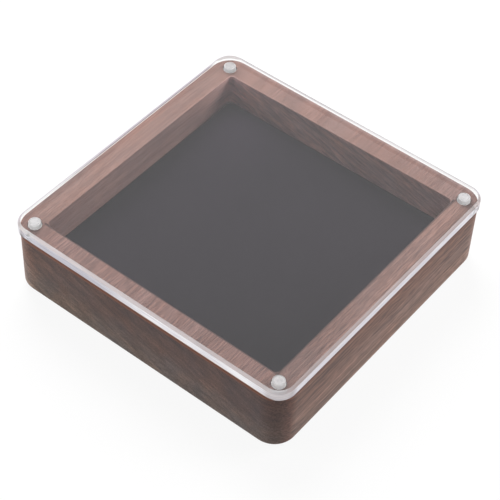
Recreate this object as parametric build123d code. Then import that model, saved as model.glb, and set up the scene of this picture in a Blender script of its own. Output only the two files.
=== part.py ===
from build123d import *
import os

# Medal storage box: a tray milled from one walnut board, a dark pad on its floor,
# and a clear acrylic lid that four pairs of disc magnets hold down at the corners.
# Origin: centre of the plane that the feet stand on. X runs along the wood's grain.

# Driving dimensions, in millimetres
box_side = 140.0
board_height = 30.0
board_corner = 10.0
board_top_round = 0.8
board_foot_round = 2.0

rim_width = 10.5
cavity_depth = 17.0
cavity_corner = 2.0
mouth_round = 0.4

pad_thickness = 2.0
pad_gap = 0.2
pad_round = 0.5

lid_thickness = 5.0
lid_corner = 8.0
lid_top_chamfer = 1.1
lid_under_chamfer = 0.2

magnet_height = 3.0
magnet_edge = 0.25
magnet_inset = 7.2
magnet_recess = 0.1
socket_gap = 0.15
socket_depth = 3.2
lid_magnet_diameter = 5.0
tray_magnet_diameter = 6.0

foot_diameter = 8.0
foot_height = 1.5
foot_taper = 0.5
foot_inset = 14.0

# Levels, worked out from the sizes above
board_under = foot_height
board_top = board_under + board_height
cavity_floor = board_top - cavity_depth
cavity_side = box_side - 2 * rim_width
pad_side = cavity_side - 2 * pad_gap
lid_top = board_top + lid_thickness
magnet_reach = box_side / 2 - magnet_inset
lid_socket_diameter = lid_magnet_diameter + 2 * socket_gap
tray_socket_diameter = tray_magnet_diameter + 2 * socket_gap
foot_reach = box_side / 2 - foot_inset

CORNERS = {
    "front_left": (-1, -1),
    "front_right": (1, -1),
    "back_right": (1, 1),
    "back_left": (-1, 1),
}


def square_block(side, corner, base, height):
    """Upright block with a square outline and round vertical corners."""
    with BuildPart() as block:
        with BuildSketch(Plane.XY.offset(base)):
            RectangleRounded(side, side, corner)
        extrude(amount=height)
    return block.part


def level_face(solid, level):
    """The flat level face of a solid at this height."""
    level_faces = solid.faces().filter_by(Axis.Z)
    return level_faces.sort_by(lambda face: abs(face.center().Z - level))[0]


def outer_edges_at(solid, level):
    """The edges of the level face at this height that bound its outer outline."""
    return level_face(solid, level).outer_wire().edges()


def inner_edges_at(solid, level):
    """The edges of the level face at this height that bound the opening in it."""
    return level_face(solid, level).inner_wires()[0].edges()


def disc(diameter, base, height, spot=(0, 0)):
    """Upright cylinder standing on the given height."""
    x, y = spot
    centre = Pos(x, y, base)
    return centre * Cylinder(diameter / 2, height, align=(Align.CENTER, Align.CENTER, Align.MIN))


def magnet_spot(corner):
    """Where the magnet pair of one corner sits."""
    side_x, side_y = CORNERS[corner]
    return side_x * magnet_reach, side_y * magnet_reach


def walnut_tray():
    """The board with its milled cavity, magnet sockets in the rim and eased edges."""
    tray = square_block(box_side, board_corner, board_under, board_height)
    tray = fillet(outer_edges_at(tray, board_under), board_foot_round)
    tray -= square_block(cavity_side, cavity_corner, cavity_floor, cavity_depth)
    tray = fillet(inner_edges_at(tray, board_top), mouth_round)
    tray = fillet(outer_edges_at(tray, board_top), board_top_round)
    for corner in CORNERS:
        tray -= disc(tray_socket_diameter, board_top - socket_depth, socket_depth, magnet_spot(corner))
    return tray


def floor_pad():
    """The thin dark pad that covers the cavity floor."""
    pad = square_block(pad_side, cavity_corner - pad_gap, cavity_floor, pad_thickness)
    return fillet(outer_edges_at(pad, cavity_floor + pad_thickness), pad_round)


def acrylic_lid():
    """The clear sheet: bevelled round the top, with four blind sockets bored from below."""
    lid = square_block(box_side, lid_corner, board_top, lid_thickness)
    lid = chamfer(outer_edges_at(lid, lid_top), lid_top_chamfer)
    lid = chamfer(outer_edges_at(lid, board_top), lid_under_chamfer)
    for corner in CORNERS:
        lid -= disc(lid_socket_diameter, board_top, socket_depth, magnet_spot(corner))
    return lid


def disc_magnet(diameter, base, spot):
    """Plated disc magnet with both rims broken."""
    magnet = disc(diameter, base, magnet_height, spot)
    return chamfer(magnet.edges().filter_by(GeomType.CIRCLE), magnet_edge)


def rubber_foot(corner):
    """Low rubber disc, tapered at the bottom, stuck under one corner of the board."""
    side_x, side_y = CORNERS[corner]
    foot = disc(foot_diameter, 0, foot_height, (side_x * foot_reach, side_y * foot_reach))
    return chamfer(outer_edges_at(foot, 0), foot_taper)


def all_pieces():
    """Every piece of the box by its name."""
    pieces = {
        "walnut_tray": walnut_tray(),
        "floor_pad": floor_pad(),
        "acrylic_lid": acrylic_lid(),
    }
    for corner in CORNERS:
        spot = magnet_spot(corner)
        lid_base = board_top + magnet_recess
        tray_base = board_top - magnet_recess - magnet_height
        pieces["lid_magnet_" + corner] = disc_magnet(lid_magnet_diameter, lid_base, spot)
        pieces["tray_magnet_" + corner] = disc_magnet(tray_magnet_diameter, tray_base, spot)
        pieces["foot_" + corner] = rubber_foot(corner)
    return pieces


os.makedirs("parts", exist_ok=True)
for name, solid in all_pieces().items():
    solid.label = name
    export_step(solid, "parts/" + name + ".step")
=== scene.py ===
import math

import bpy
import numpy as np
from mathutils import Matrix, Vector


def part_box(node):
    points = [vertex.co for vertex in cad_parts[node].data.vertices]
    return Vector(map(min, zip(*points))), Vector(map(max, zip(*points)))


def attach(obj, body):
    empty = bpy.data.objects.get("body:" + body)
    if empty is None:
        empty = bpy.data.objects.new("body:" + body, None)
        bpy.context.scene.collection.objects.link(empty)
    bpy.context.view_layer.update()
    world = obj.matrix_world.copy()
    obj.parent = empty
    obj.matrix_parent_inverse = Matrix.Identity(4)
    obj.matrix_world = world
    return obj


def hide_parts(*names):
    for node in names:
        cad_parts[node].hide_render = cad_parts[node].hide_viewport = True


# Medal storage box: walnut tray, black pad, clear lid with four pairs of disc magnets.
# Metres, Z up, X along the grain of the wood. In the photograph the front left corner is nearest, the back
# left one is at the left, the front right one at the right, and the back right one is farthest.

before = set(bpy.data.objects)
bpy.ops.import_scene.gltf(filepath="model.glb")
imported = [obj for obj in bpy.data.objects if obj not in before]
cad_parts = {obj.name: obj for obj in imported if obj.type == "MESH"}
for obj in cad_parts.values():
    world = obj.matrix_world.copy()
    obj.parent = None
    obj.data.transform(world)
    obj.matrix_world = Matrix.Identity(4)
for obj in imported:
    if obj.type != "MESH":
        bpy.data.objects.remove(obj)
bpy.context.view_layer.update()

MM = 0.001
CORNERS = ("front_left", "front_right", "back_right", "back_left")

# Camera, solved from the photograph's straight edges
VIEW_AZIMUTH = -53.575
VIEW_ELEVATION = 47.642
VIEW_ROLL = 2.937
VIEW_DISTANCE = 700.2 * MM
VIEW_AIM = Vector((3.569, 2.745, 5.605)) * MM
LENS_MM = 118.36
SENSOR_MM = 36.0
CLIP_START = 0.01

# Board; the mouth's rounding ends just inside MOUTH_HALF
BOARD_HALF = 70.0 * MM
BOARD_TOP = 31.5 * MM
BOARD_FOOT = 2.0 * MM
MOUTH_HALF = 60.0 * MM
RING_SLANT = (0.6, 0.0, 0.012)
END_SLANT = (0.30, 0.0, 0.0)
LINE_SHARE = 0.8
FIBRE_DEPTH = 0.06 * MM

# Lid
LID_TOP = 36.5 * MM
LID_CORNER = 8.0 * MM
LID_BEVEL = 1.1 * MM
LID_UNDER_BEVEL = 0.2 * MM
LID_AIR_GAP = 0.04 * MM
SOCKET_RADIUS = 2.65 * MM
SOCKET_DEPTH = 3.2 * MM
SOCKET_RIM = 0.45 * MM
SOCKET_SLACK = 0.05 * MM
UNDER_FACE_SLACK = 0.01 * MM
BEVEL_SOFTNESS = 0.12 * MM
LID_SHARP_DEGREES = 20.0
LEVEL_NORMAL = 0.99
ACRYLIC_IOR = 1.49
CUTTER_LINES = (14.0, 14.0, 0.45)

# Pad
PAD_CORNER = 1.8 * MM
PAD_ROUND = 0.4 * MM
PAD_CROWN = 0.12 * MM
PAD_SWELL = 0.8
PAD_WAVE = 0.2
PAD_RINGS = 70
PAD_MIDDLE = 0.004
PAD_SHARP_DEGREES = 60.0
NAP_DEPTH = 0.01 * MM

# Magnets and feet
MAGNET_EDGE = 0.3 * MM
FOOT_EDGE = 0.5 * MM
FOOT_TOP_EDGE = 0.1 * MM
RUBBER_DEPTH = 0.1 * MM

# Mesh steps
ARC_STEPS = 20
LATHE_STEPS = 72
ROUND_STEPS = 6
SHARP_DEGREES = 35.0

# Studio
FLOOR_HALF = 4.0
FLOOR_CORNER = 0.5
FLOOR_DEPTH = 0.02
FLOOR_GLOW = 0.92
FILL_STRENGTH = 0.10


def grey(level):
    """Grey of this level, as red, green and blue."""
    return (level, level, level)


WHITE = grey(1.0)


def direction(azimuth, elevation):
    """Unit vector from the box towards an azimuth and elevation in degrees."""
    a, e = math.radians(azimuth), math.radians(elevation)
    return Vector((math.sin(a) * math.cos(e), -math.cos(a) * math.cos(e), math.sin(e)))


def place_camera():
    """Camera looking along the solved direction, turned by the roll about its own axis."""
    azimuth, roll = math.radians(VIEW_AZIMUTH), math.radians(VIEW_ROLL)
    back = direction(VIEW_AZIMUTH, VIEW_ELEVATION)
    level_right = Vector((math.cos(azimuth), math.sin(azimuth), 0.0))
    level_up = back.cross(level_right)
    right = level_right * math.cos(roll) + level_up * math.sin(roll)
    up = level_up * math.cos(roll) - level_right * math.sin(roll)
    camera = bpy.data.objects.new("camera", bpy.data.cameras.new("camera"))
    camera.data.lens = LENS_MM
    camera.data.sensor_width = SENSOR_MM
    camera.data.clip_start = CLIP_START
    axes = Matrix((right, up, back)).transposed().to_4x4()
    camera.matrix_world = Matrix.Translation(VIEW_AIM + back * VIEW_DISTANCE) @ axes
    bpy.context.scene.collection.objects.link(camera)
    bpy.context.scene.camera = camera


# Mesh making

def square_ring(half, corner, height):
    """Points of a square outline with round corners: each quarter turn is a sweep of angles about its
    corner's centre, which lies the corner radius in from both sides."""
    turn = np.linspace(0.0, math.pi / 2, ARC_STEPS + 1)
    angles = (np.arange(4)[:, None] * math.pi / 2 + turn[None, :]).ravel()
    signs_x = np.repeat([1, -1, -1, 1], ARC_STEPS + 1)
    signs_y = np.repeat([1, 1, -1, -1], ARC_STEPS + 1)
    x = signs_x * (half - corner) + corner * np.cos(angles)
    y = signs_y * (half - corner) + corner * np.sin(angles)
    return np.stack([x, y, np.full_like(x, height)], 1)


def round_ring(centre, radius, height):
    """Points of a level circle: its centre plus the radius times the cosine and sine of even angles."""
    angles = np.linspace(0.0, 2 * math.pi, LATHE_STEPS, endpoint=False)
    x = centre[0] + radius * np.cos(angles)
    y = centre[1] + radius * np.sin(angles)
    return np.stack([x, y, np.full_like(x, height)], 1)


def loft(rings):
    """Skin through rings of equal length: each pair of neighbours is joined by four-sided faces, and the
    first and last ring are closed by one flat face each. Rings run from the bottom up, anticlockwise."""
    count = len(rings[0])
    points = np.concatenate(rings)
    here = np.arange(count)
    after = (here + 1) % count
    steps = np.arange(len(rings) - 1)[:, None] * count
    quads = np.stack([steps + here, steps + after, steps + after + count, steps + here + count], -1)
    faces = quads.reshape(-1, 4).tolist()
    faces.append(here[::-1].tolist())
    faces.append((here + (len(rings) - 1) * count).tolist())
    return points, faces


def make_piece(name, points, faces, sharp_degrees=SHARP_DEGREES):
    """Object at the origin with these points and faces, smooth except over sharp edges."""
    mesh = bpy.data.meshes.new(name)
    mesh.from_pydata(points.tolist(), [], faces)
    mesh.update()
    mesh.shade_smooth()
    mesh.set_sharp_from_angle(angle=math.radians(sharp_degrees))
    piece = bpy.data.objects.new(name, mesh)
    bpy.context.scene.collection.objects.link(piece)
    return piece


def quarter_turn():
    """Sines and cosines of even angles over a quarter turn, for a rounded edge."""
    angles = np.linspace(0.0, math.pi / 2, ROUND_STEPS + 1)
    return list(zip(np.sin(angles), np.cos(angles)))


# Shader making

# Which inputs and which output of a Mix node are its colours
COLOUR_A = 6
COLOUR_B = 7
COLOUR_RESULT = 2


class Shader:
    """Adds nodes to one material or world and links them. Where a value is asked for, it takes a number, a
    colour or another node's output."""

    def __init__(self, owner, output="ShaderNodeOutputMaterial"):
        self.owner = owner
        self.owner.use_nodes = True
        self.nodes = owner.node_tree.nodes
        self.links = owner.node_tree.links
        self.nodes.clear()
        self.output = self.nodes.new(output)

    def add(self, kind, **settings):
        node = self.nodes.new(kind)
        for key, value in settings.items():
            setattr(node, key, value)
        return node

    def feed(self, socket, value):
        """Links a node's output to the socket, or sets the socket to a number or to an opaque colour."""
        if isinstance(value, bpy.types.NodeSocket):
            self.links.new(value, socket)
        else:
            socket.default_value = (*value, 1.0) if isinstance(value, tuple) else value

    def put(self, node, **values):
        for key, value in values.items():
            self.feed(node.inputs[key.replace("_", " ")], value)
        return node

    def surface(self, shader):
        """Makes this shader the surface, and gives back the finished material or world."""
        self.feed(self.output.inputs["Surface"], shader)
        return self.owner

    def principled(self, **values):
        return self.put(self.add("ShaderNodeBsdfPrincipled"), **values).outputs["BSDF"]

    def transparent(self, tint):
        return self.put(self.add("ShaderNodeBsdfTransparent"), Color=tint).outputs["BSDF"]

    def blend(self, share, first, second):
        """The first shader where the share is 0, the second where it is 1."""
        node = self.add("ShaderNodeMixShader")
        for socket, value in zip(node.inputs, (share, first, second)):
            self.feed(socket, value)
        return node.outputs[0]

    def object_pattern(self, size, turn=(0.0, 0.0, 0.0), shift=(0.0, 0.0, 0.0)):
        """Object coordinates, shifted and turned, then divided by the size in millimetres that one grain of
        the pattern has along each axis."""
        source = self.add("ShaderNodeTexCoord")
        mapping = self.add("ShaderNodeMapping", vector_type="TEXTURE")
        mapping.inputs["Location"].default_value = shift
        mapping.inputs["Rotation"].default_value = turn
        mapping.inputs["Scale"].default_value = [s * MM for s in size]
        self.feed(mapping.inputs["Vector"], source.outputs["Object"])
        return mapping.outputs["Vector"]

    def parts(self, vector):
        """The X, Y and Z of a vector."""
        node = self.add("ShaderNodeSeparateXYZ")
        self.feed(node.inputs[0], vector)
        return tuple(node.outputs)

    def place(self):
        """The three object coordinates."""
        return self.parts(self.add("ShaderNodeTexCoord").outputs["Object"])

    def diagonal(self):
        """Sum of X and Y, which grows from the front left corner to the back right one."""
        x, y, _ = self.place()
        return self.math("ADD", x, y)

    def reach(self, operation="MAXIMUM"):
        """Distance from the middle in X or in Y, whichever is larger. With MINIMUM it is the smaller one,
        which is large only in the corners."""
        x, y, _ = self.place()
        return self.math(operation, self.math("ABSOLUTE", x), self.math("ABSOLUTE", y))

    def normal(self):
        """The surface's normal."""
        return self.add("ShaderNodeNewGeometry").outputs["Normal"]

    def leaning_normal(self, uplift):
        """The surface's normal, leaned upwards by this share."""
        leaned = self.add("ShaderNodeVectorMath", operation="ADD")
        self.feed(leaned.inputs[0], self.normal())
        leaned.inputs[1].default_value = (0.0, 0.0, uplift)
        unit = self.add("ShaderNodeVectorMath", operation="NORMALIZE")
        self.feed(unit.inputs[0], leaned.outputs[0])
        return unit.outputs[0]

    def math(self, operation, first, second=0.0):
        node = self.add("ShaderNodeMath", operation=operation)
        for socket, value in zip(node.inputs, (first, second)):
            self.feed(socket, value)
        return node.outputs[0]

    def times(self, first, second):
        """Product of two numbers."""
        return self.math("MULTIPLY", first, second)

    def scaled(self, value, factor, offset):
        """The value times the factor, plus the offset."""
        return self.math("ADD", self.times(value, factor), offset)

    def facing(self, part):
        """Square of one part of the normal: 1 on a face square to that axis, 0 on a face along it."""
        return self.math("POWER", self.math("ABSOLUTE", part), 2.0)

    def slope(self, value, start, end):
        """Runs smoothly from 0 to 1 while the value runs from start to end."""
        node = self.add("ShaderNodeMapRange", interpolation_type="SMOOTHSTEP")
        return self.put(node, Value=value, From_Min=start, From_Max=end).outputs["Result"]

    def noise(self, vector, detail=2.0, roughness=0.5, distortion=0.0):
        node = self.add("ShaderNodeTexNoise")
        self.put(node, Vector=vector, Scale=1.0, Detail=detail, Roughness=roughness, Distortion=distortion)
        return node.outputs["Fac"]

    def crossing_lines(self, vector, width):
        """Thin lines where smooth noise passes its middle value, 1 on the line and 0 beside it."""
        off = self.math("ABSOLUTE", self.math("SUBTRACT", self.noise(vector, detail=1.0), 0.5))
        return self.slope(off, width, 0.0)

    def ramp(self, value, stops):
        """Colour that runs through these stops, each a value and its colour."""
        node = self.add("ShaderNodeValToRGB")
        elements = node.color_ramp.elements
        while len(elements) < len(stops):
            elements.new(0.5)
        for element, (position, colour) in zip(elements, stops):
            element.position = position
            element.color = (*colour, 1.0)
        return self.put(node, Fac=value).outputs["Color"]

    def mix(self, share, first, second, blend="MIX"):
        """The first colour where the share is 0, the second where it is 1."""
        node = self.add("ShaderNodeMix", data_type="RGBA", blend_type=blend)
        self.feed(node.inputs["Factor"], share)
        self.feed(node.inputs[COLOUR_A], first)
        self.feed(node.inputs[COLOUR_B], second)
        return node.outputs[COLOUR_RESULT]

    def tinted(self, colour, tint):
        """The colour multiplied by the tint."""
        return self.mix(1.0, colour, tint, "MULTIPLY")

    def partly_tinted(self, share, colour, tint):
        """The colour where the share is 0, and the colour multiplied by the tint where it is 1."""
        return self.mix(share, colour, self.tinted(colour, tint))

    def bump(self, height, strength, distance):
        node = self.put(self.add("ShaderNodeBump"), Height=height, Strength=strength, Distance=distance)
        return node.outputs["Normal"]

    def seen_directly(self):
        """1 for a ray that has met nothing matt yet, straight from the camera, in a reflection or through
        the lid, and 0 for light that falls on the box."""
        path = self.add("ShaderNodeLightPath").outputs
        seen = self.math("MAXIMUM", path["Is Camera Ray"], path["Is Glossy Ray"])
        seen = self.math("MAXIMUM", seen, path["Is Transmission Ray"])
        return self.times(seen, self.math("LESS_THAN", path["Diffuse Depth"], 0.5))


def new_shader(name):
    """Empty material of this name, ready for its nodes."""
    return Shader(bpy.data.materials.new(name))


# Walnut

# Rings, fine rings, broad rings and changes of hue on the end grain: size, shift, detail and two ramp stops
END_GRAIN_LAYERS = (
    ((60.0, 11.0, 1.8), (0.0, 0.0, 0.0), 2.0, (0.36, (0.77, 0.77, 0.79)), (0.64, (1.22, 1.22, 1.19))),
    ((60.0, 4.0, 0.8), (0.1, 0.3, 0.6), 1.0, (0.36, (0.82, 0.82, 0.83)), (0.64, (1.17, 1.17, 1.16))),
    ((60.0, 26.0, 4.6), (0.2, 0.5, 0.1), 1.0, (0.38, (0.87, 0.87, 0.88)), (0.62, (1.13, 1.13, 1.12))),
    ((80.0, 17.0, 12.0), (0.3, 0.6, 0.2), 2.0, (0.40, (0.94, 0.98, 1.01)), (0.60, (1.07, 1.02, 0.96))),
)


def board_colour(s):
    """The board's own brown: wide bands along the grain, and patches of a slightly different hue."""
    bands = s.noise(s.object_pattern((90.0, 14.0, 6.0), RING_SLANT), detail=3.0, distortion=0.2)
    patches = s.noise(s.object_pattern((24.0, 9.0, 9.0), shift=(0.2, 0.1, 0.3)), detail=2.0)
    wood = s.ramp(bands, [(0.34, (0.272, 0.149, 0.121)),
                          (0.50, (0.318, 0.176, 0.143)),
                          (0.66, (0.356, 0.200, 0.164))])
    return s.tinted(wood, s.ramp(patches, [(0.38, (0.96, 0.99, 1.01)), (0.62, (1.04, 1.01, 0.99))]))


def long_grain(s, wood):
    """The wood cut along the grain: fibres, short dark hairlines and long thin veins. Gives the colour, and
    the relief of the fibres and hairlines."""
    fibres = s.noise(s.object_pattern((70.0, 0.75, 0.95)), detail=2.0, roughness=0.65)
    wood = s.tinted(wood, s.ramp(fibres, [(0.36, (0.66, 0.64, 0.65)),
                                          (0.50, WHITE),
                                          (0.64, (1.26, 1.26, 1.25))]))
    dashes = s.noise(s.object_pattern((9.0, 0.7, 0.85), shift=(0.1, 0.4, 0.2)), detail=1.0)
    hairs = s.slope(dashes, 0.40, 0.33)
    wood = s.partly_tinted(s.times(hairs, LINE_SHARE), wood, (0.50, 0.46, 0.49))
    veins = s.crossing_lines(s.object_pattern((160.0, 8.0, 6.0), RING_SLANT, (0.5, 0.2, 0.7)), 0.016)
    wood = s.partly_tinted(s.times(veins, LINE_SHARE), wood, (0.50, 0.46, 0.46))
    return wood, s.math("SUBTRACT", fibres, s.times(hairs, 0.5))


def end_grain(s, wood):
    """The wood cut across the grain: slanting rings, finer and broader ones over them, and slow changes of
    hue."""
    for size, shift, detail, dark_stop, pale_stop in END_GRAIN_LAYERS:
        layer = s.noise(s.object_pattern(size, END_SLANT, shift), detail=detail)
        wood = s.tinted(wood, s.ramp(layer, [dark_stop, pale_stop]))
    return wood


def outer_tint(s, across):
    """Tint of the outer faces: painted light from the floor makes them paler and greyer towards the foot.
    They are duller on the right half of the faces along the grain, cooler towards the front on the ends, and
    redder where a corner starts to cut the fibres at a slant. Painted light makes them paler round the back
    left and front right corners."""
    x, y, z = s.place()
    rise = s.slope(z, BOARD_FOOT, BOARD_TOP)
    # Painted light from the floor: paler and greyer towards the foot, darker towards the top.
    long_tint = s.ramp(rise, [(0.0, (1.24, 1.30, 1.23)),
                              (0.5, (0.92, 0.94, 0.91)),
                              (1.0, (0.82, 0.72, 0.62))])
    long_tint = s.partly_tinted(s.slope(x, 0.0, 40.0 * MM), long_tint, grey(0.90))
    cut_at_slant = s.times(s.slope(across, 0.0, 0.08), s.slope(across, 0.5, 0.2))
    long_tint = s.partly_tinted(cut_at_slant, long_tint, (0.88, 0.77, 0.75))
    # Painted light from the floor on the ends too: paler towards the foot, darker towards the top.
    end_tint = s.ramp(rise, [(0.0, (0.97, 1.28, 1.38)),
                             (0.5, (0.70, 0.76, 0.80)),
                             (1.0, (0.55, 0.54, 0.57))])
    hue = s.mix(s.slope(y, -60.0 * MM, 60.0 * MM), (0.98, 1.02, 1.07), (1.03, 1.0, 0.94))
    tint = s.mix(across, long_tint, s.tinted(end_tint, hue))
    # Painted light round the back left and front right corners.
    back_left = s.times(s.slope(y, 55.5 * MM, 61.0 * MM), s.slope(x, -40.0 * MM, -60.0 * MM))
    tint = s.partly_tinted(back_left, tint, (1.42, 1.33, 1.28))
    front_right = s.times(s.slope(x, 56.5 * MM, 61.5 * MM), s.slope(y, -40.0 * MM, -60.0 * MM))
    return s.partly_tinted(front_right, tint, (1.22, 1.24, 1.24))


def cavity_tint(s, across, diagonal):
    """Tint of the milled walls: paler and cooler overall, with painted light that makes them paler still
    towards the back right corner and painted shade that darkens them towards the front left.
    """
    # Painted shade towards the front left corner and painted light towards the back right one, over paler,
    # cooler walls.
    return s.tinted(s.mix(across, (1.22, 1.32, 1.43), (1.14, 1.22, 1.37)),
                    s.ramp(diagonal, [(0.05, grey(0.78)), (0.27, grey(0.92)), (0.60, grey(0.97)),
                                      (0.80, (1.10, 1.10, 1.11)), (0.90, (1.70, 1.70, 1.74)),
                                      (0.98, (2.50, 2.50, 2.60))]))


def rim_tint(s):
    """Tint of the rim: duller beyond the two ends of the cavity, pale along the right edge with a painted
    highlight, and duller along the left half of the back edge."""
    x, y, _ = s.place()
    tint = s.mix(s.slope(x, 57.0 * MM, 62.0 * MM), (0.74, 0.79, 0.815), (0.71, 0.75, 0.785))
    tint = s.mix(s.slope(x, -57.0 * MM, -62.0 * MM), tint, (0.675, 0.70, 0.74))
    # Painted highlight: a pale, cool strip along the right edge.
    tint = s.mix(s.slope(x, 68.2 * MM, 69.0 * MM), tint, (0.86, 1.04, 1.17))
    back_left_strip = s.times(s.slope(y, 67.3 * MM, 68.8 * MM), s.slope(x, -5.0 * MM, -35.0 * MM))
    return s.partly_tinted(back_left_strip, tint, (0.85, 0.89, 0.93))


def edges_tinted(s, wood, reach, normal_z):
    """The wood with its rounded edges tinted. The mouth's edge has painted shade in front and a little
    painted light behind. The board's top edge is warmer with painted light, most of all at the two ends, and
    browner at the right one."""
    x, y, z = s.place()
    # Painted shade on the mouth's edge in front, painted light behind.
    mouth = s.times(s.slope(reach, MOUTH_HALF + 0.3 * MM, MOUTH_HALF + 0.05 * MM),
                    s.slope(z, BOARD_TOP - 0.30 * MM, BOARD_TOP - 0.12 * MM))
    in_front = s.slope(s.math("MINIMUM", x, y), -59.0 * MM, -59.4 * MM)
    wood = s.partly_tinted(mouth, wood, s.mix(in_front, (1.16, 1.17, 1.18), (0.30, 0.29, 0.30)))
    # Painted warm light on the board's top edge, most of all at the two ends, browner at the right one.
    outside = s.slope(reach, BOARD_HALF - 1.5 * MM, BOARD_HALF - 1.0 * MM)
    top_edge = s.times(outside, s.slope(z, BOARD_TOP - 2.0 * MM, BOARD_TOP - 0.9 * MM))
    top_edge = s.times(top_edge, s.slope(normal_z, 0.97, 0.9))
    near_end = s.slope(s.math("ABSOLUTE", x), BOARD_HALF - 9.0 * MM, BOARD_HALF - 4.0 * MM)
    painted_edge_light = s.mix(s.slope(x, 55.0 * MM, 65.0 * MM), (0.40, 0.155, 0.092), (0.20, 0.125, 0.108))
    return s.mix(s.times(top_edge, s.scaled(near_end, 0.75, 0.15)), wood, painted_edge_light)


def walnut():
    """Oiled walnut cut from one board, with long grain on the faces along X and end grain on the faces
    across it. The lines and flecks of the grain are fainter where it is sanded: on the rim, more so towards
    the back right corner, and on the milled walls. Every face has its own tint, with painted light and shade
    in it."""
    s = new_shader("walnut")
    normal_x, _, normal_z = s.parts(s.normal())
    across, level = s.facing(normal_x), s.facing(normal_z)
    reach = s.reach()
    milled = s.slope(reach, MOUTH_HALF + 0.3 * MM, MOUTH_HALF)
    diagonal = s.math("DIVIDE", s.diagonal(), 120.0 * MM)
    rubbed = s.scaled(s.slope(diagonal, -0.5, 0.5), 0.36, 0.22)
    sanded = s.math("MAXIMUM", s.times(level, rubbed), s.times(milled, 0.7))
    plain = board_colour(s)
    along, relief = long_grain(s, plain)
    wood = s.mix(across, s.mix(sanded, along, plain), end_grain(s, plain))
    flecks = s.noise(s.object_pattern((4.5, 0.55, 0.6), shift=(0.3, 0.2, 0.5)), detail=1.0)
    fleck_tint = s.ramp(flecks, [(0.36, grey(0.74)), (0.64, grey(1.23))])
    wood = s.partly_tinted(s.math("SUBTRACT", 1.0, sanded), wood, fleck_tint)
    # The face tints carry painted light and shade as well as the wood's own tone.
    side_tint = s.mix(milled, outer_tint(s, across), cavity_tint(s, across, diagonal))
    wood = s.tinted(wood, s.mix(level, side_tint, rim_tint(s)))
    wood = edges_tinted(s, wood, reach, normal_z)
    return s.surface(s.principled(Base_Color=wood, Roughness=0.50, Specular_IOR_Level=0.38,
                                  Normal=s.bump(relief, 0.3, FIBRE_DEPTH)))


# Pad cloth, plating and rubber

def pad_cloth():
    """Short black pile: soft sheen and a fine uneven nap. Painted light makes it darkest in the front left
    corner and lightest in the back right one."""
    s = new_shader("pad_cloth")
    diagonal = s.math("DIVIDE", s.diagonal(), 220.0 * MM)
    # Painted light: darkest in the front left corner, lightest in the back right one.
    uplift = s.ramp(s.math("ADD", diagonal, 0.5), [(0.11, grey(0.42)), (0.27, grey(0.75)), (0.44, grey(0.90)),
                                                 (0.76, WHITE), (0.86, grey(1.35)), (0.96, grey(2.4))])
    nap = s.noise(s.object_pattern((0.33, 0.33, 0.33)), detail=2.0, roughness=0.7)
    lay = s.noise(s.object_pattern((36.0, 36.0, 36.0)), detail=3.0)
    tint = s.ramp(nap, [(0.35, (0.0108, 0.0078, 0.0126)), (0.65, (0.0123, 0.0093, 0.0141))])
    tint = s.tinted(tint, s.ramp(lay, [(0.35, (0.94, 0.94, 0.95)), (0.65, (1.06, 1.06, 1.06))]))
    return s.surface(s.principled(Base_Color=s.tinted(tint, uplift), Roughness=0.95, Specular_IOR_Level=0.03,
                                  Sheen_Weight=0.03, Sheen_Roughness=0.6,
                                  Normal=s.bump(nap, 0.05, NAP_DEPTH)))


def nickel():
    """Bright nickel plating, a little uneven."""
    s = new_shader("nickel")
    wear = s.noise(s.object_pattern((1.1, 1.1, 1.1)), detail=3.0)
    colour = s.ramp(wear, [(0.3, (0.84, 0.83, 0.82)), (0.7, (0.95, 0.94, 0.94))])
    return s.surface(s.principled(Base_Color=colour, Metallic=1.0, Roughness=s.scaled(wear, 0.15, 0.14)))


def foot_rubber():
    """Matt black rubber with a fine moulded grain."""
    s = new_shader("foot_rubber")
    grain = s.noise(s.object_pattern((0.55, 0.55, 0.55)), detail=2.0)
    colour = s.ramp(grain, [(0.3, grey(0.018)), (0.7, grey(0.03))])
    return s.surface(s.principled(Base_Color=colour, Roughness=0.7,
                                  Normal=s.bump(grain, 0.3, RUBBER_DEPTH)))


# Acrylic

def let_light_through(s, shader, tint):
    """Mixes in a clear surface for shadow rays, so that the lamps light what lies under the lid."""
    shadow = s.add("ShaderNodeLightPath").outputs["Is Shadow Ray"]
    return s.blend(shadow, shader, s.transparent(tint))


def clear_acrylic():
    """Polished clear acrylic sheet."""
    s = new_shader("clear_acrylic")
    sheet = s.principled(Base_Color=grey(0.985), Roughness=0.0, IOR=ACRYLIC_IOR, Transmission_Weight=1.0,
                         Specular_Tint=(0.99, 0.965, 1.0))
    return s.surface(let_light_through(s, sheet, grey(0.97)))


def cutter_lines(s, grain, dull, bright):
    """Tone of a cut face, with the lines that the cutter left in it."""
    return s.ramp(s.noise(s.object_pattern(grain), detail=2.0), [(0.36, dull), (0.60, bright)])


def cut_glass(s, roughness):
    """The see-through share of a cut face."""
    return s.principled(Base_Color=WHITE, Roughness=roughness, IOR=ACRYLIC_IOR, Transmission_Weight=1.0)


def acrylic_socket(name, dull, bright, clarity, roughness, grain, front, back, mirror):
    """Wall or end of a magnet's socket: whitish, made lighter or darker by painted light and shade in the
    front left corner of the lid and again in the back right one. It catches the light from above as a metal
    does, by the given share, and is see-through by its clarity."""
    s = new_shader(name)
    place = s.diagonal()
    tone = cutter_lines(s, grain, dull, bright)
    # Painted light and shade: the sockets in the front left and back right corners are tinted lighter or
    # darker.
    tone = s.tinted(tone, s.mix(s.slope(place, -60.0 * MM, -110.0 * MM), WHITE, front))
    tone = s.tinted(tone, s.mix(s.slope(place, 60.0 * MM, 110.0 * MM), WHITE, back))
    carried = s.principled(Base_Color=tone, Metallic=mirror, Roughness=0.5, Normal=s.leaning_normal(1.7))
    face = s.blend(clarity, carried, cut_glass(s, roughness))
    return s.surface(let_light_through(s, face, grey(0.9)))


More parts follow.
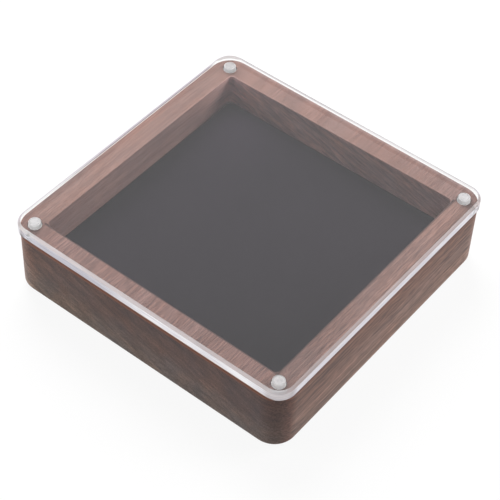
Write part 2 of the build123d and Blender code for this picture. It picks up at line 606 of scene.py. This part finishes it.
def acrylic_edge(name, dull, bright, clarity, roughness, open_inside):
    """Outer cut face of the sheet, bright with the light that the sheet carries to it. From inside the sheet
    it is clear by the given share."""
    s = new_shader(name)
    tone, clearness = outer_edge_tone(s, cutter_lines(s, CUTTER_LINES, dull, bright), clarity)
    carried = s.principled(Base_Color=tone, Metallic=1.0, Roughness=0.5, Specular_Tint=(0.62, 0.60, 0.66))
    face = s.blend(clearness, carried, cut_glass(s, roughness))
    inside = s.add("ShaderNodeNewGeometry").outputs["Backfacing"]
    face = s.blend(s.times(inside, open_inside), face, s.transparent(edge_from_inside(s)))
    return s.surface(let_light_through(s, face, grey(0.9)))


def edge_from_inside(s):
    """Tint of what shows through the outer edge from inside the sheet, with painted shade in it. A grey band
    of painted shade lies under the bevel, wider round the corners and on the right wall, and widest in the
    back right corner. Below it the back wall is darkened by painted shade, more so towards its foot."""
    x, y, z = s.place()
    right_wall = s.slope(x, 68.5 * MM, 69.5 * MM)
    back_wall = s.slope(y, 68.5 * MM, 69.5 * MM)
    far_corner = s.slope(s.math("MINIMUM", x, y), 60.0 * MM, 65.0 * MM)
    corner_or_right = s.math("MAXIMUM", s.slope(s.reach("MINIMUM"), 58.0 * MM, 64.0 * MM), right_wall)
    far_lift = s.math("MAXIMUM", s.times(far_corner, 2.2 * MM), s.times(right_wall, 1.1 * MM))
    lift = s.math("ADD", s.times(corner_or_right, 1.3 * MM), far_lift)
    # Painted shade: a grey band under the bevel, wider round the corners and on the right wall.
    band = s.slope(s.math("ADD", z, lift), LID_TOP - 1.8 * MM, LID_TOP - 1.4 * MM)
    # Painted shade on the back wall, darker towards its foot.
    back_shade_span = s.times(s.slope(x, -50.0 * MM, -10.0 * MM), s.slope(x, 62.0 * MM, 56.0 * MM))
    depth = s.slope(z, LID_TOP - 3.7 * MM, LID_TOP - 4.9 * MM)
    back_shade_tint = s.mix(depth, (0.66, 0.62, 0.68), (0.30, 0.24, 0.25))
    below = s.mix(s.times(back_shade_span, back_wall), grey(0.97), back_shade_tint)
    on_right = s.mix(s.slope(y, -20.0 * MM, 20.0 * MM), (0.86, 0.83, 0.84), (0.70, 0.66, 0.68))
    band_tint = s.mix(far_corner, s.mix(right_wall, (0.60, 0.56, 0.56), on_right), (0.68, 0.64, 0.64))
    return s.mix(band, below, band_tint)


def outer_edge_tone(s, tone, clarity):
    """Tints the outer edge by place with painted light, shade and reflections, and gives its tone and how
    clear it is. Round the corners and towards the back the wall is greyer and cooler with painted shade, and
    the bevel paler with painted light. Both carry painted reflections beside the back left and front right
    corners, are even in tone on the right and back sides, and have painted shade on the sides along X, the
    bevel most. The foot of the left wall carries a painted image of the board's warm edge. The bevel is
    cloudy on the right and back sides, and has painted shade on the straight of the right one."""
    x, y, z = s.place()
    corner = s.slope(s.reach("MINIMUM"),
                     BOARD_HALF - LID_CORNER - 2.0 * MM, BOARD_HALF - LID_CORNER + 2.0 * MM)
    bevel = s.slope(z, LID_TOP - LID_BEVEL - 0.1 * MM, LID_TOP - LID_BEVEL + 0.1 * MM)
    # Painted shade on the wall and painted light on the bevel round the corners.
    tone = s.partly_tinted(corner, tone, s.mix(bevel, (0.70, 0.67, 0.66), (1.08, 1.10, 1.12)))
    # Painted shade on the wall and painted light on the bevel towards the back.
    shade_towards_back = s.mix(s.slope(y, -8.0 * MM, 30.0 * MM), WHITE, (0.70, 0.70, 0.74))
    along_bevel = s.slope(s.diagonal(), -150.0 * MM, 10.0 * MM)
    bevel_light_towards_back = s.mix(along_bevel, (0.86, 0.84, 0.84), (1.10, 1.10, 1.11))
    tone = s.tinted(tone, s.mix(bevel, shade_towards_back, bevel_light_towards_back))
    # Painted reflections beside the back left and front right corners.
    beside = s.math("MAXIMUM", x, y)
    reflection_noise = s.noise(s.object_pattern((1.9, 1.9, 1.3)), detail=1.0)
    spots = s.ramp(reflection_noise, [(0.40, (0.72, 0.74, 0.71)), (0.58, (1.22, 1.22, 1.20))])
    reflection_patch = s.times(s.slope(beside, 56.0 * MM, 60.0 * MM), s.slope(beside, 65.5 * MM, 64.0 * MM))
    tone = s.partly_tinted(reflection_patch, tone, spots)
    tone = s.mix(s.slope(beside, 63.5 * MM, 66.0 * MM), tone, (0.95, 0.94, 0.95))
    _, normal_y, _ = s.parts(s.normal())
    # Painted shade on the sides along X, the bevel most.
    shade_along_x = s.mix(bevel, (0.93, 0.92, 0.94), (0.38, 0.27, 0.25))
    tone = s.partly_tinted(s.facing(normal_y), tone, shade_along_x)
    # Painted image of the board's warm edge at the foot of the left wall.
    board_edge_image = s.times(s.slope(x, -68.9 * MM, -69.7 * MM),
                        s.slope(z, BOARD_TOP + 0.72 * MM, BOARD_TOP + 0.50 * MM))
    tone = s.partly_tinted(board_edge_image, tone, (0.36, 0.25, 0.21))
    right, back = (s.slope(side, BOARD_HALF - 4.0 * MM, BOARD_HALF - 1.5 * MM) for side in (x, y))
    # Painted shade on the bevel of the right and back sides, darkest on the straight of the right one.
    far_bevel = s.times(s.math("MAXIMUM", right, back), bevel)
    right_straight = s.times(right, s.slope(s.math("ABSOLUTE", y), 66.0 * MM, 61.0 * MM))
    tone = s.mix(far_bevel, tone, s.mix(right_straight, (0.80, 0.76, 0.80), (0.22, 0.20, 0.21)))
    cloudy = s.times(far_bevel, s.scaled(right, 0.3, 0.7))
    return tone, s.times(s.math("SUBTRACT", 1.0, cloudy), clarity)


# Pieces

def corner_spots():
    """Centres of the four magnet pairs, from the lid's magnets."""
    spots = []
    for corner in CORNERS:
        low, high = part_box("lid_magnet_" + corner)
        spots.append(((low.x + high.x) / 2, (low.y + high.y) / 2))
    return spots


def cut_sockets(piece, base):
    """Bores the blind sockets from below, with an exact difference against four closed discs whose upper
    rim is broken, as the bit leaves it."""
    parts = [loft([round_ring(spot, SOCKET_RADIUS, base - MM),
                   round_ring(spot, SOCKET_RADIUS, base + SOCKET_DEPTH - SOCKET_RIM),
                   round_ring(spot, SOCKET_RADIUS - SOCKET_RIM, base + SOCKET_DEPTH)])
             for spot in corner_spots()]
    points = np.concatenate([p for p, _ in parts])
    faces = [[i + n * len(parts[0][0]) for i in face] for n, (_, part) in enumerate(parts) for face in part]
    cutter = make_piece("socket_cutter", points, faces)
    cut = piece.modifiers.new("sockets", "BOOLEAN")
    cut.operation = "DIFFERENCE"
    cut.solver = "EXACT"
    cut.object = cutter
    bpy.context.view_layer.update()
    mesh = bpy.data.meshes.new_from_object(piece.evaluated_get(bpy.context.evaluated_depsgraph_get()))
    piece.modifiers.clear()
    piece.data = mesh
    mesh.shade_smooth()
    mesh.set_sharp_from_angle(angle=math.radians(LID_SHARP_DEGREES))
    bpy.data.objects.remove(cutter)


def lid_finishes():
    """The lid's five materials, in the order that paint_lid counts them."""
    return (clear_acrylic(),
            acrylic_edge("acrylic_bevel", (0.80, 0.77, 0.78), (0.90, 0.88, 0.89),
                         clarity=0.48, roughness=0.05, open_inside=0.5),
            acrylic_edge("acrylic_wall", (0.80, 0.78, 0.82), (1.0, 0.99, 1.0),
                         clarity=0.08, roughness=0.1, open_inside=0.9),
            acrylic_socket("acrylic_socket", (0.90, 0.89, 0.90), WHITE, clarity=0.05, roughness=0.30,
                           grain=CUTTER_LINES, front=(0.95, 0.94, 0.94), back=WHITE, mirror=0.9),
            acrylic_socket("acrylic_socket_end", (0.68, 0.67, 0.68), (0.82, 0.81, 0.82), clarity=0.38,
                           roughness=0.25, grain=(0.9, 0.9, 0.9), front=(1.08, 1.07, 1.07),
                           back=(0.74, 0.72, 0.72), mirror=0.5))


def paint_lid(piece, base, top):
    """Gives each face of the lid its finish by where it lies: sheet, bevel, edge wall, socket wall or the
    socket's flat end."""
    mesh = piece.data
    mesh.materials.clear()
    for material in lid_finishes():
        mesh.materials.append(material)
    sheet, bevel, wall, socket, socket_end = range(len(mesh.materials))
    count = len(mesh.polygons)
    centres = np.empty(count * 3, np.float32)
    normals = np.empty(count * 3, np.float32)
    mesh.polygons.foreach_get("center", centres)
    mesh.polygons.foreach_get("normal", normals)
    x, y, z = centres.reshape(-1, 3).T
    flat = np.abs(normals.reshape(-1, 3)[:, 2]) > LEVEL_NORMAL
    off_centre = np.min([np.hypot(x - spot[0], y - spot[1]) for spot in corner_spots()], axis=0)
    in_socket = off_centre < SOCKET_RADIUS + SOCKET_SLACK
    in_socket &= (z < base + SOCKET_DEPTH + SOCKET_SLACK) & (z > base + UNDER_FACE_SLACK)
    slots = np.full(count, sheet, np.int32)
    slots[~flat & (z > top - LID_BEVEL)] = bevel
    slots[~flat & (z <= top - LID_BEVEL)] = wall
    slots[in_socket] = socket
    slots[in_socket & flat] = socket_end
    mesh.polygons.foreach_set("material_index", slots)
    mesh.update()


def lid_sheet():
    """The clear lid: the outline is carried up through the small bevel below, the wall, the wide bevel and
    its two softened corners, then the sockets are bored. A softened corner is a narrow facet, which starts
    one softness before the two faces would meet and ends about half of one beyond."""
    low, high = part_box("acrylic_lid")
    half = high.x
    base = low.z + LID_AIR_GAP
    top = high.z
    soft = BEVEL_SOFTNESS
    rings = []
    for inset, height in ((LID_UNDER_BEVEL, base),
                          (0.0, base + LID_UNDER_BEVEL),
                          (0.0, top - LID_BEVEL - soft),
                          (0.29 * soft, top - LID_BEVEL + 0.29 * soft),
                          (LID_BEVEL - 0.71 * soft, top - 0.71 * soft),
                          (LID_BEVEL + 0.6 * soft, top)):
        rings.append(square_ring(half - inset, LID_CORNER - inset, height))
    piece = make_piece("lid_sheet", *loft(rings), sharp_degrees=LID_SHARP_DEGREES)
    cut_sockets(piece, base)
    paint_lid(piece, base, top)
    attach(piece, "lid")
    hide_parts("acrylic_lid")


def floor_cloth():
    """The pad: rings of the same outline, scaled towards the middle, rise round the edge by a quarter turn
    and then over a slight crown, which grows as 1 less the fourth power of the scale. Two crossed sine waves,
    with 90 and 75 radians in a metre, make it faintly uneven."""
    low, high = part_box("floor_pad")
    half = high.x
    rings = [square_ring(half, PAD_CORNER, low.z)]
    for sine, cosine in quarter_turn():
        inset = PAD_ROUND * (1.0 - cosine)
        height = high.z - PAD_CROWN - PAD_ROUND * (1.0 - sine)
        rings.append(square_ring(half - inset, PAD_CORNER - inset, height))
    edge = rings[-1]
    for share in np.linspace(1.0, PAD_MIDDLE, PAD_RINGS)[1:]:
        ring = edge.copy()
        ring[:, :2] *= share
        swell = (1.0 - share ** 4) * PAD_CROWN * PAD_SWELL
        wave = np.sin(ring[:, 0] * 90.0 + 0.6) * np.sin(ring[:, 1] * 75.0 - 0.4)
        ring[:, 2] += swell + wave * (1.0 - share) * PAD_CROWN * PAD_WAVE
        rings.append(ring)
    piece = make_piece("floor_cloth", *loft(rings), sharp_degrees=PAD_SHARP_DEGREES)
    piece.data.materials.append(pad_cloth())
    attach(piece, "tray")
    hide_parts("floor_pad")


def lathe(name, node, body, material, bottom_edge, top_edge):
    """Round piece in the place of a CAD disc: rings about its centre, with both rims rounded by a quarter
    turn."""
    low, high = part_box(node)
    centre = ((low.x + high.x) / 2, (low.y + high.y) / 2)
    radius = (high.x - low.x) / 2
    rings = []
    for sine, cosine in quarter_turn():
        height = low.z + bottom_edge * (1 - cosine)
        rings.append(round_ring(centre, radius - bottom_edge * (1 - sine), height))
    for sine, cosine in quarter_turn():
        height = high.z - top_edge * (1 - sine)
        rings.append(round_ring(centre, radius - top_edge * (1 - cosine), height))
    piece = make_piece(name, *loft(rings))
    piece.data.materials.append(material)
    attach(piece, body)
    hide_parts(node)


def magnets_and_feet():
    """The plated discs of lid and tray and the rubber feet, one of each in every corner."""
    plating = nickel()
    rubber = foot_rubber()
    for corner in CORNERS:
        for part in ("lid", "tray"):
            lathe(part + "_disc_" + corner, part + "_magnet_" + corner, part, plating,
                  MAGNET_EDGE, MAGNET_EDGE)
        lathe("foot_disc_" + corner, "foot_" + corner, "tray", rubber,
              FOOT_EDGE, FOOT_TOP_EDGE)


def finish_tray():
    """The tray keeps its own solid and gets the walnut."""
    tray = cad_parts["walnut_tray"]
    wood = walnut()
    if not tray.data.materials:
        tray.data.materials.append(None)
    for index in range(len(tray.data.materials)):
        tray.data.materials[index] = wood


# Studio

def studio_floor():
    """Pale floor that shows white to the camera, to reflections and through the lid, and keeps the shadow.
    What it throws back at the box comes mostly from close by."""
    s = new_shader("studio_floor")
    tone = s.ramp(s.reach(), [(0.09, grey(0.32)), (0.13, grey(0.12))])
    paper = s.put(s.add("ShaderNodeBsdfDiffuse"), Color=tone)
    card = s.put(s.add("ShaderNodeBsdfDiffuse"), Color=grey(0.95))
    white = s.put(s.add("ShaderNodeEmission"), Color=WHITE, Strength=1.0)
    shown = s.blend(FLOOR_GLOW, card.outputs[0], white.outputs[0])
    return s.surface(s.blend(s.seen_directly(), paper.outputs[0], shown))


def studio_world():
    """Surroundings that show white and light the box with an even low fill."""
    s = Shader(bpy.data.worlds.new("studio"), "ShaderNodeOutputWorld")
    fill = s.put(s.add("ShaderNodeBackground"), Color=WHITE, Strength=FILL_STRENGTH)
    white = s.put(s.add("ShaderNodeBackground"), Color=WHITE, Strength=1.0)
    world = s.surface(s.blend(s.seen_directly(), fill.outputs[0], white.outputs[0]))
    world.cycles.sampling_method = "NONE"
    return world


def lamp(name, azimuth, elevation, distance, size, power):
    """Square soft lamp that faces the box from this direction, and is itself never seen."""
    data = bpy.data.lights.new(name, "AREA")
    data.shape = "SQUARE"
    data.size = size
    data.energy = power
    light = bpy.data.objects.new(name, data)
    away = direction(azimuth, elevation)
    light.location = away * distance
    light.rotation_euler = away.to_track_quat("Z", "Y").to_euler()
    light.visible_camera = False
    light.visible_transmission = False
    light.visible_glossy = False
    bpy.context.scene.collection.objects.link(light)


def studio():
    """White floor and surroundings, and three soft lamps."""
    floor = make_piece("floor", *loft([square_ring(FLOOR_HALF, FLOOR_CORNER, -FLOOR_DEPTH),
                                       square_ring(FLOOR_HALF, FLOOR_CORNER, 0.0)]))
    floor.data.materials.append(studio_floor())
    bpy.context.scene.world = studio_world()
    lamp("back_overhead", azimuth=142.0, elevation=50.0, distance=0.48, size=0.35, power=4.2)
    lamp("right_side", azimuth=50.0, elevation=26.0, distance=1.2, size=0.6, power=8.5)
    lamp("left_side", azimuth=-140.0, elevation=26.0, distance=1.2, size=0.6, power=3.1)


bpy.context.scene.view_settings.view_transform = "Standard"
place_camera()
finish_tray()
floor_cloth()
magnets_and_feet()
lid_sheet()
studio()
